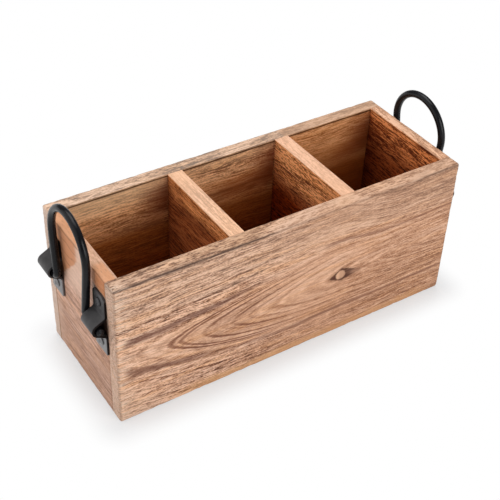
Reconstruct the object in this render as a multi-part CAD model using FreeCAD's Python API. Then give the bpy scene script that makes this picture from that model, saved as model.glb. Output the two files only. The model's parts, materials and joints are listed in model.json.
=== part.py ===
import FreeCAD, Part
import math
import os

os.makedirs("parts", exist_ok=True)

# Open wooden utensil caddy with three bays and a swinging bail handle at each end.
# The origin is the middle of the underside, +X runs along the caddy, the front faces -Y, +Z is up.
# All sizes are in millimetres and all angles in degrees.

# Wooden box
caddy_length = 305.0
caddy_depth = 114.0
caddy_height = 127.0
long_wall = 12.0
end_wall = 10.0
base_thickness = 10.0
divider_thickness = 12.5
left_bay = 88.5
middle_bay = 86.3
outer_round = 2.0
arris_ease = 0.4

# Hidden dowels and their glued holes
dowel_diameter = 6.0
dowel_length = 20.0
dowel_in_wall = 8.0
dowel_chamfer = 0.6
glue_gap = 0.05
dowel_end_gap = 0.5
corner_dowel_low = 24.0
divider_dowel_low = 40.0
divider_dowel_drop = 27.0

# Strap brackets, two on each end panel
bracket_margin = 11.2
bracket_width = 18.0
bracket_height = 52.5
bracket_drop = 40.6
strap_thickness = 1.6
strap_top_corner = 4.5
strap_foot_corner = 1.0
strap_bend = 2.0
loop_slope = 28.0
loop_clearance = 1.2

# Bail handles
rod_diameter = 6.0
rod_rest_gap = 0.3
pivot_standoff = 6.1
arch_radius = 28.0
arch_rise = 43.1
foot_bend_run = 4.2
foot_clearance = 0.3
foot_overhang = 1.4
handle_lean = 1.75

# Round-head screws
screw_shank = 3.5
screw_in_wood = 7.0
screw_point = 2.2
screw_head = 7.0
screw_head_height = 1.8
screw_head_rim = 0.6
screw_hole_clearance = 0.25
pilot_clearance = 0.05
recess_width = 0.9
recess_length = 3.8
recess_depth = 0.9

# Places that follow from the sizes
half_length = caddy_length / 2
half_depth = caddy_depth / 2
inner_half_length = half_length - end_wall
inner_half_depth = half_depth - long_wall
left_divider_start = -inner_half_length + left_bay
right_divider_start = left_divider_start + divider_thickness + middle_bay
rod_radius = rod_diameter / 2
loop_inner = rod_radius + loop_clearance
loop_outer = loop_inner + strap_thickness
bracket_outer = half_depth - bracket_margin
bracket_inner = bracket_outer - bracket_width
bracket_middle = bracket_outer - bracket_width / 2
loop_height = caddy_height - bracket_drop
plate_top = loop_height + bracket_height / 2
plate_bottom = loop_height - bracket_height / 2
pivot_height = loop_height - loop_clearance + rod_rest_gap
slope_sine = math.sin(math.radians(loop_slope))
slope_cosine = math.cos(math.radians(loop_slope))
bend_out = strap_thickness + strap_bend
bend_reach = (pivot_standoff - bend_out) * slope_sine + loop_outer + strap_bend
bend_rise = bend_reach / slope_cosine

LEFT, RIGHT = -1, 1
FRONT, BACK = -1, 1
SIDES = {"left": LEFT, "right": RIGHT}
FACES = {"front": FRONT, "back": BACK}
X_AXIS = FreeCAD.Vector(1, 0, 0)
Y_AXIS = FreeCAD.Vector(0, 1, 0)
SAME_PLACE = 1e-6


def point(x, y, z):
    return FreeCAD.Vector(x, y, z)


def block(low, high):
    size = high.sub(low)
    return Part.makeBox(size.x, size.y, size.z, low)


def close(a, b):
    return abs(a - b) < SAME_PLACE


def outside_planes(edge):
    """Count the outer planes of the box that an edge lies in."""
    middle = edge.CenterOfMass
    on_end = close(abs(middle.x), half_length)
    on_long = close(abs(middle.y), half_depth)
    on_top_or_bottom = close(middle.z, 0) or close(middle.z, caddy_height)
    return on_end + on_long + on_top_or_bottom


def is_inner_top(edge, axis, place):
    """True for a top edge that lies at the given place on the given axis."""
    middle = edge.CenterOfMass
    return close(getattr(middle, axis), place) and close(middle.z, caddy_height)


def board(low, high, eased_edge):
    """A board with soft outer edges and lightly eased arrises where eased_edge says so."""
    shape = block(low, high)
    outer_edges = [edge for edge in shape.Edges if outside_planes(edge) >= 2]
    if outer_edges:
        shape = shape.makeFillet(outer_round, outer_edges)
    arrises = [edge for edge in shape.Edges if eased_edge(edge)]
    return shape.makeChamfer(arris_ease, arrises) if arrises else shape


def long_panel(face):
    """Front or back panel, running the whole length of the caddy."""
    inner = face * inner_half_depth
    outer = face * half_depth
    low = point(-half_length, min(inner, outer), 0)
    high = point(half_length, max(inner, outer), caddy_height)
    return board(low, high, lambda edge: is_inner_top(edge, "y", inner))


def end_panel(side):
    """End panel, butted between the two long panels."""
    inner = side * inner_half_length
    outer = side * half_length
    low = point(min(inner, outer), -inner_half_depth, 0)
    high = point(max(inner, outer), inner_half_depth, caddy_height)
    return board(low, high, lambda edge: is_inner_top(edge, "x", inner))


def divider(start):
    """Divider standing on the base, flush with the top edge."""
    low = point(start, -inner_half_depth, base_thickness)
    high = point(start + divider_thickness, inner_half_depth, caddy_height)
    ends = (start, start + divider_thickness)
    return board(low, high, lambda edge: any(is_inner_top(edge, "x", end) for end in ends))


def cylinder(start, direction, length, radius):
    return Part.makeCylinder(radius, length, start, direction)


def dowel(start, direction):
    peg = cylinder(start, direction, dowel_length, dowel_diameter / 2)
    rims = [edge for edge in peg.Edges if isinstance(edge.Curve, Part.Circle)]
    return peg.makeChamfer(dowel_chamfer, rims)


def dowel_hole(start, direction):
    """The two blind holes of one dowel, as a single cutter with room for glue."""
    back = FreeCAD.Vector(direction).multiply(dowel_end_gap)
    length = dowel_length + 2 * dowel_end_gap
    return cylinder(start.sub(back), direction, length, dowel_diameter / 2 + glue_gap)


def dowel_starts(face, places):
    """Where dowels start inside a long panel, at the given places along x and z."""
    start_y = face * (inner_half_depth + dowel_in_wall)
    return [point(x, start_y, z) for x, z in places]


def on_wall(side, out, y, z):
    """A point given by its distance out from an end panel's face."""
    return point(side * (half_length + out), y, z)


def line(start, end):
    return Part.LineSegment(start, end).toShape()


def arc(start, through, end):
    return Part.Arc(start, through, end).toShape()


def strap_line(side, y, level):
    """One face of the strap as edges from top to bottom, with its two end points.

    level is the distance of this face from the wall side of the strap.
    """
    loop_radius = loop_inner + level
    bend_radius = bend_out - level
    tangent = math.pi / 2 - math.radians(loop_slope)

    def spot(out, rise):
        return on_wall(side, out, y, loop_height + rise)

    def bend_spot(angle, sign):
        out = bend_out - bend_radius * math.cos(angle)
        return spot(out, sign * (bend_rise - bend_radius * math.sin(angle)))

    def loop_spot(angle):
        out = pivot_standoff + loop_radius * math.cos(angle)
        return spot(out, loop_radius * math.sin(angle))

    upper = [bend_spot(0, 1), bend_spot(tangent / 2, 1), bend_spot(tangent, 1)]
    lower = [bend_spot(tangent, -1), bend_spot(tangent / 2, -1), bend_spot(0, -1)]
    top = on_wall(side, level, y, plate_top)
    bottom = on_wall(side, level, y, plate_bottom)
    edges = [
        line(top, upper[0]),
        arc(*upper),
        line(upper[2], loop_spot(tangent)),
        arc(loop_spot(tangent), loop_spot(0), loop_spot(-tangent)),
        line(loop_spot(-tangent), lower[0]),
        arc(*lower),
        line(lower[2], bottom),
    ]
    return edges, top, bottom


def screw_places(side, face):
    """Screw centres of one bracket on the end panel, in the middle of its two flat plates."""
    upper = (plate_top + loop_height + bend_rise) / 2
    lower = (plate_bottom + loop_height - bend_rise) / 2
    return [on_wall(side, 0, face * bracket_middle, height) for height in (upper, lower)]


def corner_edges(strap, height):
    """The two short edges through the strap's thickness at the given end of it."""
    at_end = [edge for edge in strap.Edges if close(edge.CenterOfMass.z, height)]
    return [edge for edge in at_end if close(edge.Length, strap_thickness)]


def bracket(side, face):
    """Strap bent out into a loop round the foot of the handle, with two screw holes."""
    y = face * bracket_middle - bracket_width / 2
    wall_edges, wall_top, wall_bottom = strap_line(side, y, 0)
    outer_edges, outer_top, outer_bottom = strap_line(side, y, strap_thickness)
    caps = [line(wall_top, outer_top), line(wall_bottom, outer_bottom)]
    outline = Part.Wire(Part.__sortEdges__(wall_edges + outer_edges + caps))
    strap = Part.Face(outline).extrude(Y_AXIS * bracket_width)
    strap = strap.makeFillet(strap_top_corner, corner_edges(strap, plate_top))
    strap = strap.makeFillet(strap_foot_corner, corner_edges(strap, plate_bottom))
    hole_radius = screw_shank / 2 + screw_hole_clearance
    for place in screw_places(side, face):
        strap = strap.cut(cylinder(place, X_AXIS * side, strap_thickness, hole_radius))
    return strap


def screw(side, place):
    """Round-head screw with a cross recess, seated on the strap."""
    head_radius = screw_head / 2
    shank_radius = screw_shank / 2
    length = strap_thickness + screw_in_wood
    crown = arc(
        point(screw_head_height, 0, 0),
        point(*head_arc_middle(head_radius)),
        point(screw_head_rim, head_radius, 0),
    )
    corners = [
        point(screw_head_rim, head_radius, 0),
        point(0, head_radius, 0),
        point(0, shank_radius, 0),
        point(screw_point - length, shank_radius, 0),
        point(-length, 0, 0),
        point(screw_head_height, 0, 0),
    ]
    sides = [line(start, end) for start, end in zip(corners, corners[1:])]
    solid = Part.Face(Part.Wire([crown] + sides)).revolve(point(0, 0, 0), X_AXIS, 360)
    floor = screw_head_height - recess_depth
    for width, height in ((recess_width, recess_length), (recess_length, recess_width)):
        low = point(floor, -width / 2, -height / 2)
        high = point(screw_head_height, width / 2, height / 2)
        solid = solid.cut(block(low, high))
    if side == LEFT:
        solid.rotate(point(0, 0, 0), point(0, 0, 1), 180)
    solid.translate(place.add(X_AXIS * (side * strap_thickness)))
    return solid


def head_arc_middle(head_radius):
    """A point half way along the crown of a screw head, on the circle through its top and rim."""
    drop = screw_head_height - screw_head_rim
    crown_radius = (head_radius**2 + drop**2) / (2 * drop)
    half_angle = math.asin(head_radius / crown_radius) / 2
    across = crown_radius * math.sin(half_angle)
    sink = crown_radius * (1 - math.cos(half_angle))
    return screw_head_height - sink, across, 0


def handle_path(side):
    """Centre line of the bent rod, from the front foot over the arch to the back foot."""
    lean = math.radians(handle_lean)
    corner = bracket_inner - foot_clearance - foot_bend_run
    span = math.hypot(corner, arch_rise)
    leg_tilt = math.atan2(arch_rise, corner) - math.acos(arch_radius / span)
    half_corner = (math.pi / 2 - leg_tilt) / 2
    bend_radius = foot_bend_run * math.tan(half_corner)
    bend_depth = bend_radius / math.sin(half_corner) - bend_radius
    leg_sine = math.sin(leg_tilt)
    leg_cosine = math.cos(leg_tilt)

    def spot(across, rise):
        out = pivot_standoff - rise * math.sin(lean)
        return on_wall(side, out, across, pivot_height + rise * math.cos(lean))

    def leg_spots(face):
        """Foot end, bend start, bend middle, bend end and arch start of one leg."""
        return [
            spot(face * (bracket_outer + foot_overhang), 0),
            spot(face * (corner + foot_bend_run), 0),
            spot(face * (corner + bend_depth * math.cos(half_corner)), bend_depth * math.sin(half_corner)),
            spot(face * (corner + foot_bend_run * leg_sine), foot_bend_run * leg_cosine),
            spot(face * arch_radius * leg_cosine, arch_rise - arch_radius * leg_sine),
        ]

    front = leg_spots(FRONT)
    back = leg_spots(BACK)
    crest = spot(0, arch_rise + arch_radius)
    return [
        line(front[0], front[1]),
        arc(front[1], front[2], front[3]),
        line(front[3], front[4]),
        arc(front[4], crest, back[4]),
        line(back[4], back[3]),
        arc(back[3], back[2], back[1]),
        line(back[1], back[0]),
    ]


def handle(side):
    """Bail handle: a round rod bent into an arch, with its feet turned into the bracket loops."""
    path = Part.Wire(handle_path(side))
    start = path.Edges[0].Vertexes[0].Point
    section = Part.Wire(Part.makeCircle(rod_radius, start, Y_AXIS))
    rod = path.makePipeShell([section], True)
    print("rod length", round(path.Length, 2), "volume", round(rod.Volume, 1))
    return rod


parts = {}

# Boards before their holes
for name, face in FACES.items():
    parts[name + "_panel"] = long_panel(face)
for name, side in SIDES.items():
    parts[name + "_end_panel"] = end_panel(side)
parts["left_divider"] = divider(left_divider_start)
parts["right_divider"] = divider(right_divider_start)
base_low = point(-inner_half_length, -inner_half_depth, 0)
base_high = point(inner_half_length, inner_half_depth, base_thickness)
parts["base_board"] = block(base_low, base_high)


def join(dowel_node, face, places, boards):
    """Set a row of dowels between boards, and drill their holes."""
    direction = Y_AXIS * -face
    starts = dowel_starts(face, places)
    pegs = [dowel(start, direction) for start in starts]
    for start in starts:
        hole = dowel_hole(start, direction)
        for name in boards:
            parts[name] = parts[name].cut(hole)
    parts.setdefault(dowel_node, []).extend(pegs)


# Dowels at the corners, the dividers and the middle of each bay
corner_heights = (corner_dowel_low, loop_height)
divider_heights = (divider_dowel_low, caddy_height - divider_dowel_drop)
divider_starts = {"left_divider": left_divider_start, "right_divider": right_divider_start}
bay_starts = (-inner_half_length, *(start + divider_thickness for start in divider_starts.values()))
bay_ends = (*divider_starts.values(), inner_half_length)
bay_middles = [(start + end) / 2 for start, end in zip(bay_starts, bay_ends)]
for face_name, face in FACES.items():
    wall = face_name + "_panel"
    for side_name, side in SIDES.items():
        x = side * (half_length - end_wall / 2)
        places = [(x, height) for height in corner_heights]
        join(f"{face_name}_{side_name}_corner_dowels", face, places, (wall, side_name + "_end_panel"))
    for name, start in divider_starts.items():
        places = [(start + divider_thickness / 2, height) for height in divider_heights]
        join(name + "_dowels", face, places, (wall, name))
    places = [(x, base_thickness / 2) for x in bay_middles]
    join(f"base_{face_name}_dowels", face, places, (wall, "base_board"))

# Handles, brackets and their screws
for side_name, side in SIDES.items():
    parts[side_name + "_handle"] = handle(side)
    panel = side_name + "_end_panel"
    for face_name, face in FACES.items():
        name = f"{side_name}_{face_name}_bracket"
        parts[name] = bracket(side, face)
        places = screw_places(side, face)
        parts[name + "_screws"] = [screw(side, place) for place in places]
        pilot_radius = screw_shank / 2 + pilot_clearance
        for place in places:
            parts[panel] = parts[panel].cut(cylinder(place, X_AXIS * -side, screw_in_wood, pilot_radius))

for name, shape in parts.items():
    solids = shape if isinstance(shape, list) else [shape]
    body = Part.makeCompound(solids) if len(solids) > 1 else solids[0]
    body.exportStep(f"parts/{name}.step")
    print(name, "solids", len(body.Solids), "valid", body.isValid(), "volume", round(body.Volume, 1))
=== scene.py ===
# %% [markdown]
# # A wooden utensil caddy with two iron bail handles
# The caddy is a box of seven oiled boards with three bays, and a black iron handle swings at each end.
# The measured model comes in first and stays fixed. Each piece that shows is then rebuilt around it with
# softer edges and smooth bends, and gets a finish made of nodes alone.

# %% Load the measured model
import json
import math
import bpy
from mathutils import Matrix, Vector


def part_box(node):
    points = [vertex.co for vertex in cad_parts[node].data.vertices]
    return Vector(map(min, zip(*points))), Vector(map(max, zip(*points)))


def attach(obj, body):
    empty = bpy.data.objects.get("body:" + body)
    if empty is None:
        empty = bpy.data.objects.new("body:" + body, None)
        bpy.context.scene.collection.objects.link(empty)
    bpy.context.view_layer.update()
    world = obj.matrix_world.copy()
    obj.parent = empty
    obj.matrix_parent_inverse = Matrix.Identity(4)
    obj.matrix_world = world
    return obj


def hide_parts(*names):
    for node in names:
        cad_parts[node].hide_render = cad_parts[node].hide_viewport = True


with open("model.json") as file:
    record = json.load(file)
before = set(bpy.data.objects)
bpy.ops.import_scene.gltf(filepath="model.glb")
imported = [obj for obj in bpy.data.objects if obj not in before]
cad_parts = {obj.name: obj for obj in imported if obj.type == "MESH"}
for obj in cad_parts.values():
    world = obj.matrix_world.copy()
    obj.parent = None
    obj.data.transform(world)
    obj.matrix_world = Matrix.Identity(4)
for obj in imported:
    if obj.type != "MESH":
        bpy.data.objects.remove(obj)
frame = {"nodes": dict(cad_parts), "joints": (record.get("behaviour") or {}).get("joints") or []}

from types import SimpleNamespace

import bmesh
import bpy
from mathutils import Matrix, Vector, noise

MM = 0.001
scene = bpy.context.scene
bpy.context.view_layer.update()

# %% [markdown]
# ## Camera
# The photograph looks down on the front left corner through a moderately long lens. Its place was worked
# out from the corners of the box, so the edges of the render lie within a pixel or two of the photograph's.
# A camera looks along its own -Z, so it is tipped up to the horizon, down by the elevation, and rolled.

# %% Camera
PHOTO_SIDE = 500
FOCAL_PIXELS = 1034.5
CAMERA_PLACE = Vector((-366.71, -530.58, 577.23)) * MM
AZIMUTH, ELEVATION, ROLL = (math.radians(angle) for angle in (34.245, 38.635, 2.423))

camera_data = bpy.data.cameras.new("camera")
camera_data.lens = camera_data.sensor_width * FOCAL_PIXELS / PHOTO_SIDE
camera = bpy.data.objects.new("camera", camera_data)
tip = Matrix.Rotation(math.pi / 2 - ELEVATION, 4, "X")
heading = Matrix.Rotation(-AZIMUTH, 4, "Z")
camera.matrix_world = Matrix.Translation(CAMERA_PLACE) @ heading @ tip @ Matrix.Rotation(ROLL, 4, "Z")
scene.collection.objects.link(camera)
scene.camera = camera
print("lens", round(camera_data.lens, 2), "mm")

# %% [markdown]
# ## Writing shaders as sums
# Wood is a pile of small patterns added together, which is hard to read as a web of wires. This class wraps
# one socket, so that a pattern can be written as an expression: each plus or times adds a Math node.
# Every other node comes from the method called node, which takes settings first and then its sockets.


# %% A socket that can be added and multiplied
class Flow:
    """One socket of a node tree. Arithmetic between flows and numbers adds Math nodes."""

    def __init__(self, tree, socket=None):
        self.tree = tree
        self.socket = socket

    def node(self, kind, settings=(), inputs=(), output=0):
        """Add a node of any kind, with its settings first and then its values or links."""
        made = self.tree.nodes.new(kind)
        for name, value in dict(settings).items():
            if name == "stops":
                lay_stops(made.color_ramp.elements, value)
            else:
                setattr(made, name, value)
        for name, value in dict(inputs).items():
            if isinstance(value, Flow):
                self.tree.links.new(value.socket, made.inputs[name])
            else:
                made.inputs[name].default_value = value
        return Flow(self.tree, made.outputs[output] if len(made.outputs) else None)

    def output(self, name):
        """Another output of the node that this flow comes from."""
        return Flow(self.tree, self.socket.node.outputs[name])

    def math(self, operation, *values):
        return self.node("ShaderNodeMath", {"operation": operation}, dict(enumerate(values)))

    def __add__(self, other):
        return self.math("ADD", self, other)

    def __radd__(self, other):
        return self.math("ADD", other, self)

    def __sub__(self, other):
        return self.math("SUBTRACT", self, other)

    def __rsub__(self, other):
        return self.math("SUBTRACT", other, self)

    def __mul__(self, other):
        return self.math("MULTIPLY", self, other)

    def __rmul__(self, other):
        return self.math("MULTIPLY", other, self)

    def __truediv__(self, other):
        return self.math("DIVIDE", self, other)

    def __rtruediv__(self, other):
        return self.math("DIVIDE", other, self)

    def __pow__(self, other):
        return self.math("POWER", self, other)

    def __abs__(self):
        return self.math("ABSOLUTE", self)


def lay_stops(elements, stops):
    """Give a colour ramp these stops, each a place from 0 to 1 and a colour."""
    while len(elements) < len(stops):
        elements.new(0.5)
    for element, (place, colour) in zip(elements, stops):
        element.position = place
        element.color = (*colour, 1)


def start_finish(name):
    """A new material with an empty tree, and a flow to add its nodes with."""
    material = bpy.data.materials.new(name)
    material.use_nodes = True
    material.node_tree.nodes.clear()
    return material, Flow(material.node_tree)


def spot_axes(paint):
    """The three Object coordinates of the point that is shaded, in metres."""
    spot = paint.node("ShaderNodeTexCoord", output="Object")
    split = paint.node("ShaderNodeSeparateXYZ", inputs={"Vector": spot})
    return [split.output(axis) for axis in "XYZ"]


def rise(value, start, end):
    """0 before start, 1 after end, and a smooth step between. start may be the larger."""
    low, high = (start, end) if start < end else (end, start)
    inputs = {"Value": value, "From Min": low, "From Max": high}
    step = value.node("ShaderNodeMapRange", {"interpolation_type": "SMOOTHSTEP"}, inputs)
    return step if start < end else 1 - step


def band(value, middle, half_width):
    """1 at the middle value, falling smoothly to 0 half_width away on both sides."""
    return rise(abs(value - middle), half_width, 0)


def mix(factor, first, second, blend="MIX"):
    """Mix two colours, either of which may be a flow or plain numbers."""
    colours = [(*colour, 1) if isinstance(colour, tuple) else colour for colour in (first, second)]
    paint = next(item for item in (factor, first, second) if isinstance(item, Flow))
    settings = {"data_type": "RGBA", "blend_type": blend}
    return paint.node("ShaderNodeMix", settings, {0: factor, 6: colours[0], 7: colours[1]}, output=2)


print("shader helpers ready")

# %% [markdown]
# ## Floor
# The caddy stands on white paper under a wide soft light, and only a faint grey shadow hugs the box.
# The floor is a pale sheet that takes the real shadow. For the camera and for reflections it is part even
# white, and all white from 29 mm away, as in a photograph cut out for a catalogue. The extra
# white throws no light on the wood.

# %% Floor
WOOD_LOW = Vector(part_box("front_panel")[0]) / MM
WOOD_HIGH = Vector(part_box("back_panel")[1]) / MM
FLOOR_SIDE = 12.0
FLOOR_DROP = 0.3 * MM
FLOOR_COLOUR = (0.80, 0.81, 0.83, 1)
WHITE_NEAR = 0.52
SHADOW_REACH = 29 * MM


def new_object(shape, name, finish):
    """Turn a bmesh into an object with one finish, and put it in the scene."""
    mesh = bpy.data.meshes.new(name)
    shape.to_mesh(mesh)
    shape.free()
    mesh.materials.append(finish)
    made = bpy.data.objects.new(name, mesh)
    scene.collection.objects.link(made)
    return made


floor_finish, paint = start_finish("white_paper")
gaps = [abs(axis) - half * MM for axis, half in zip(spot_axes(paint), WOOD_HIGH.xy)]
beyond = [gap.math("MAXIMUM", gap, 0.0) for gap in gaps]
away = (beyond[0] * beyond[0] + beyond[1] * beyond[1]) ** 0.5
white = WHITE_NEAR + rise(away, 0.0, SHADOW_REACH) * (1 - WHITE_NEAR)
ray = paint.node("ShaderNodeLightPath")
seen = ray.output("Is Camera Ray") + ray.output("Is Glossy Ray") + ray.output("Is Transmission Ray")
paper = paint.node("ShaderNodeBsdfDiffuse", inputs={"Color": FLOOR_COLOUR})
glow = paint.node("ShaderNodeEmission", inputs={"Color": (1, 1, 1, 1), "Strength": 1.0})
surface = paint.node("ShaderNodeMixShader", inputs={0: seen * white, 1: paper, 2: glow})
paint.node("ShaderNodeOutputMaterial", inputs={"Surface": surface})

floor_shape = bmesh.new()
bmesh.ops.create_grid(floor_shape, x_segments=1, y_segments=1, size=FLOOR_SIDE / 2,
                      matrix=Matrix.Translation((0, 0, -FLOOR_DROP)))
floor = new_object(floor_shape, "floor", floor_finish)
print("floor", FLOOR_SIDE, "m")

# %% [markdown]
# ## Light
# A studio lights a small object with large soft lamps. Three square ones do it here, overhead, in front and
# at the left, and a dim white sky fills the shadows. Their power is plain, so a colour renders as written.

# %% Light
SKY_STRENGTH = 0.18
world = bpy.data.worlds.new("soft_studio")
scene.world = world
world.use_nodes = True
world.node_tree.nodes.clear()
sky = Flow(world.node_tree)
glow = sky.node("ShaderNodeBackground", inputs={"Color": (1, 1, 1, 1), "Strength": SKY_STRENGTH})
sky.node("ShaderNodeOutputWorld", inputs={"Surface": glow})
scene.view_settings.view_transform = "Standard"


def softbox(name, place, aim, side, power):
    """A square area lamp at a place, facing a point, with sizes in metres and power in watts."""
    data = bpy.data.lights.new(name, "AREA")
    data.size = side
    data.energy = power
    lamp = bpy.data.objects.new(name, data)
    direction = Vector(aim) - Vector(place)
    lamp.matrix_world = Matrix.Translation(place) @ direction.to_track_quat("-Z", "Y").to_matrix().to_4x4()
    scene.collection.objects.link(lamp)


softbox("overhead_softbox", (0.15, 0.4, 1.3), (0, 0, 0.05), 1.0, 12.5)
softbox("front_softbox", (0.3, -1.5, 0.7), (0, 0, 0.08), 1.1, 17)
softbox("left_softbox", (-1.3, 0.4, 0.75), (0, 0, 0.08), 2.2, 17)
print("lamps", [lamp.name for lamp in bpy.data.lights])

# %% [markdown]
# ## Solid wood
# A board is cut out of a trunk, so its grain is a slice through growth rings and not a picture on its face.
# The finish is therefore a solid pattern in the board's own directions: rings lie across it, and fibres
# and pores are stretched along the grain. End grain then comes out right by itself.

# %% Grain patterns in millimetres
TOP_FADE = (WOOD_HIGH.z - 1.0, WOOD_HIGH.z - 0.4)
TOP_FACE = (WOOD_HIGH.z - 0.8, WOOD_HIGH.z - 0.3)
GRAIN_AXES = {"x": ("x", "z", "y"), "y": ("y", "z", "x"), "base": ("x", "y", "z")}


def board_space(paint, lie):
    """A board's own directions in millimetres: along the grain, across the face and through it."""
    place = {name: axis / MM for name, axis in zip("xyz", spot_axes(paint))}
    along, across, through = (place[axis] for axis in GRAIN_AXES[lie])
    return SimpleNamespace(along=along, across=across, through=through, **place)


def stretched(spot, lengths, seed=0.0):
    """The three flows of spot, each measured in its own length, as one vector."""
    parts = [flow / length + seed for flow, length in zip(spot, lengths)]
    return spot[0].node("ShaderNodeCombineXYZ", inputs=dict(zip("XYZ", parts)))


def speckle(spot, lengths, detail=2.0, roughness=0.5, seed=0.0):
    """Noise from -1 to 1 around 0, with blobs of the given lengths along the three flows of spot."""
    vector = stretched(spot, lengths, seed)
    inputs = {"Vector": vector, "Scale": 1.0, "Detail": detail, "Roughness": roughness}
    return vector.node("ShaderNodeTexNoise", inputs=inputs) * 2 - 1


def dashes(spot, lengths, fill):
    """Scattered dashes, 1 inside and 0 outside: the open pores of the wood, cut lengthways."""
    vector = stretched(spot, lengths)
    cells = vector.node("ShaderNodeTexVoronoi", inputs={"Vector": vector, "Scale": 1.0})
    return rise(cells, fill, fill * 0.4)


WOOD_STOPS = [
    (0.00, (0.105, 0.040, 0.022)),
    (0.12, (0.215, 0.090, 0.048)),
    (0.31, (0.385, 0.195, 0.112)),
    (0.47, (0.510, 0.282, 0.174)),
    (0.66, (0.660, 0.390, 0.254)),
    (0.93, (0.850, 0.545, 0.378)),
]
PLAIN = (1.0, 1.0, 1.0)


def wood_finish(
    name, lie, figure, stroke=28, tint=PLAIN, top=None, inside=None, near=PLAIN, deep=PLAIN, depths=(116, 80)
):
    """Make one board's wood.

    figure(space) gives the tone from 0, dark, to 1, pale, how coarse the fibres are, and washes of colour,
    each a mask and a colour. stroke is how long a fibre is, tint goes over the whole board, and top is how
    much the sanded top edge is evened out and to what colour, a colour that is partly painted light on the
    top. inside(space) is 1 on faces that look into a bay. near gives those faces a warmer tone and painted
    light at the rim, and deep paints shade on them between the two heights of depths and below.
    """
    material, paint = start_finish(name)
    space = board_space(paint, lie)
    solid = (space.along, space.across, space.through)
    wave = speckle(solid, (90, 24, 40), detail=1, seed=31)
    ripple = speckle(solid, (20, 9, 20), detail=1, seed=37)
    space.grain = (space.along, space.across + wave * 5 + ripple * 1.3, space.through)
    tone, coarse, washes = figure(space)
    fibres = speckle(space.grain, (stroke, 1.05, 1.6), detail=3, roughness=0.65)
    threads = speckle(space.grain, (9, 0.9, 1.0), detail=2, roughness=0.7, seed=7)
    grit = speckle(solid, (1.8, 1.1, 1.1), detail=1, seed=23)
    veins = rise(abs(speckle(space.grain, (90, 3.0, 6), detail=2, seed=17)), 0.09, 0.0)
    pores = dashes(space.grain, (9, 1.3, 1.3), 0.34)
    warmth = speckle(space.grain, (55, 5, 20), detail=2, seed=13)
    texture = fibres * 0.55 + threads * 0.45 + grit * 0.25 - veins * 0.06 - pores * 0.14
    colour = paint.node("ShaderNodeValToRGB", {"stops": WOOD_STOPS}, {"Fac": tone + texture * coarse})
    colour = mix(rise(warmth, -0.05, 0.4) * 0.7, colour, (1.04, 0.96, 0.80), "MULTIPLY")
    colour = mix(rise(warmth, -0.05, -0.4) * 0.7, colour, (0.93, 0.97, 1.03), "MULTIPLY")
    colour = mix(1.0, colour, tint, "MULTIPLY")
    for mask, wash in washes:
        colour = mix(mask, colour, wash)
    # The top colour holds painted light from above as well as the sanded tone.
    if top is not None:
        evenness, shade = top
        colour = mix(rise(space.z, *TOP_FADE) * evenness, colour, shade)
    # On faces in a bay: a warmer tone and painted light at the rim, and painted shade deeper down.
    if inside is not None:
        sunk = (1 - rise(space.z, *TOP_FACE)) * inside(space)
        colour = mix(sunk, colour, near, "MULTIPLY")
        colour = mix(sunk * rise(space.z + wave * 12, *depths), colour, deep, "MULTIPLY")
    roughness = 0.58 - fibres * 0.10 + pores * 0.15
    height = fibres * 0.6 + threads * 0.4 - pores * 0.9
    bump = paint.node("ShaderNodeBump", inputs={"Height": height, "Strength": 0.5, "Distance": 0.25 * MM})
    inputs = {"Base Color": colour, "Roughness": roughness, "Normal": bump, "Specular IOR Level": 0.15}
    surface = paint.node("ShaderNodeBsdfPrincipled", inputs=inputs)
    paint.node("ShaderNodeOutputMaterial", inputs={"Surface": surface})
    return material


print("wood has", len(WOOD_STOPS), "tones")

# %% [markdown]
# ## Front panel figure
# The front board was sawn flat near the outside of the trunk, so its rings meet the face as nested arches
# that open to the right. The heart of the tree runs behind the face and comes nearer along the board, so
# the ring distance is a hypotenuse of the height above that line and its depth. Two dark streaks, a small
# knot, the dark oiled top edge and the frayed left edge are washes of colour laid over the rings. Places on
# the board are in millimetres of the caddy's own frame.

# %% Front panel finish
FRONT_INNER = (WOOD_LOW.y + 10.8, WOOD_LOW.y + 11.6)
LEFT_END_GRAIN = (WOOD_LOW.x + 1.1, WOOD_LOW.x + 0.3)
FRONT_LEFT_CORNER = WOOD_LOW.x + WOOD_LOW.y
FRONT_TONE = 0.59
HEART_HEIGHT = 55.3
HEART_BOW = 0.0007
HEART_BOW_MIDDLE = -42.5
HEART_BOW_END = 47.5
HEART_DEPTH = 28.1
HEART_TAPER = 0.106
ARCH_POINT = 0.9
RINGS = [
    (26.6, 0.5, -0.20),
    (29.3, 0.6, -0.22),
    (31.1, 0.5, -0.30),
    (33.1, 0.6, -0.44),
    (34.0, 0.4, -0.20),
    (36.0, 0.6, -0.34),
    (38.0, 0.5, -0.36),
    (38.9, 0.5, -0.46),
    (40.7, 1.2, 0.16),
    (46.4, 0.9, 0.16),
    (48.6, 0.8, 0.12),
    (50.3, 1.2, -0.26),
    (52.9, 1.5, 0.18),
    (55.2, 0.7, -0.18),
    (57.2, 0.9, 0.10),
    (61.8, 0.7, -0.18),
    (67.0, 1.3, 0.12),
]
BOLD_RINGS = 36
OUTER_RINGS = 45
STREAK_RING = 42.2
KNOT_X, KNOT_Z = 43.0, 59.7


def arched_rings(space):
    """Distance from the heart of the tree at each point of the front board, and the height above it."""
    bowed = space.x.math("MINIMUM", space.x, HEART_BOW_END) - HEART_BOW_MIDDLE
    up = space.z - HEART_HEIGHT - bowed * bowed * HEART_BOW
    above = rise(up, -2, 2)
    upper = rise(space.x, 17, 97) * rise(up, 110, 25) * 0.48
    lower = rise(space.x, 37, 152) * 0.18
    lift = up * (1 + above * upper + (1 - above) * lower)
    depth = HEART_DEPTH - space.x * HEART_TAPER + (space.y - WOOD_LOW.y) * 0.6
    rings = (lift * lift + depth * depth) ** 0.5 - ARCH_POINT / (1 + up * up / 50)
    return rings, up


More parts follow.
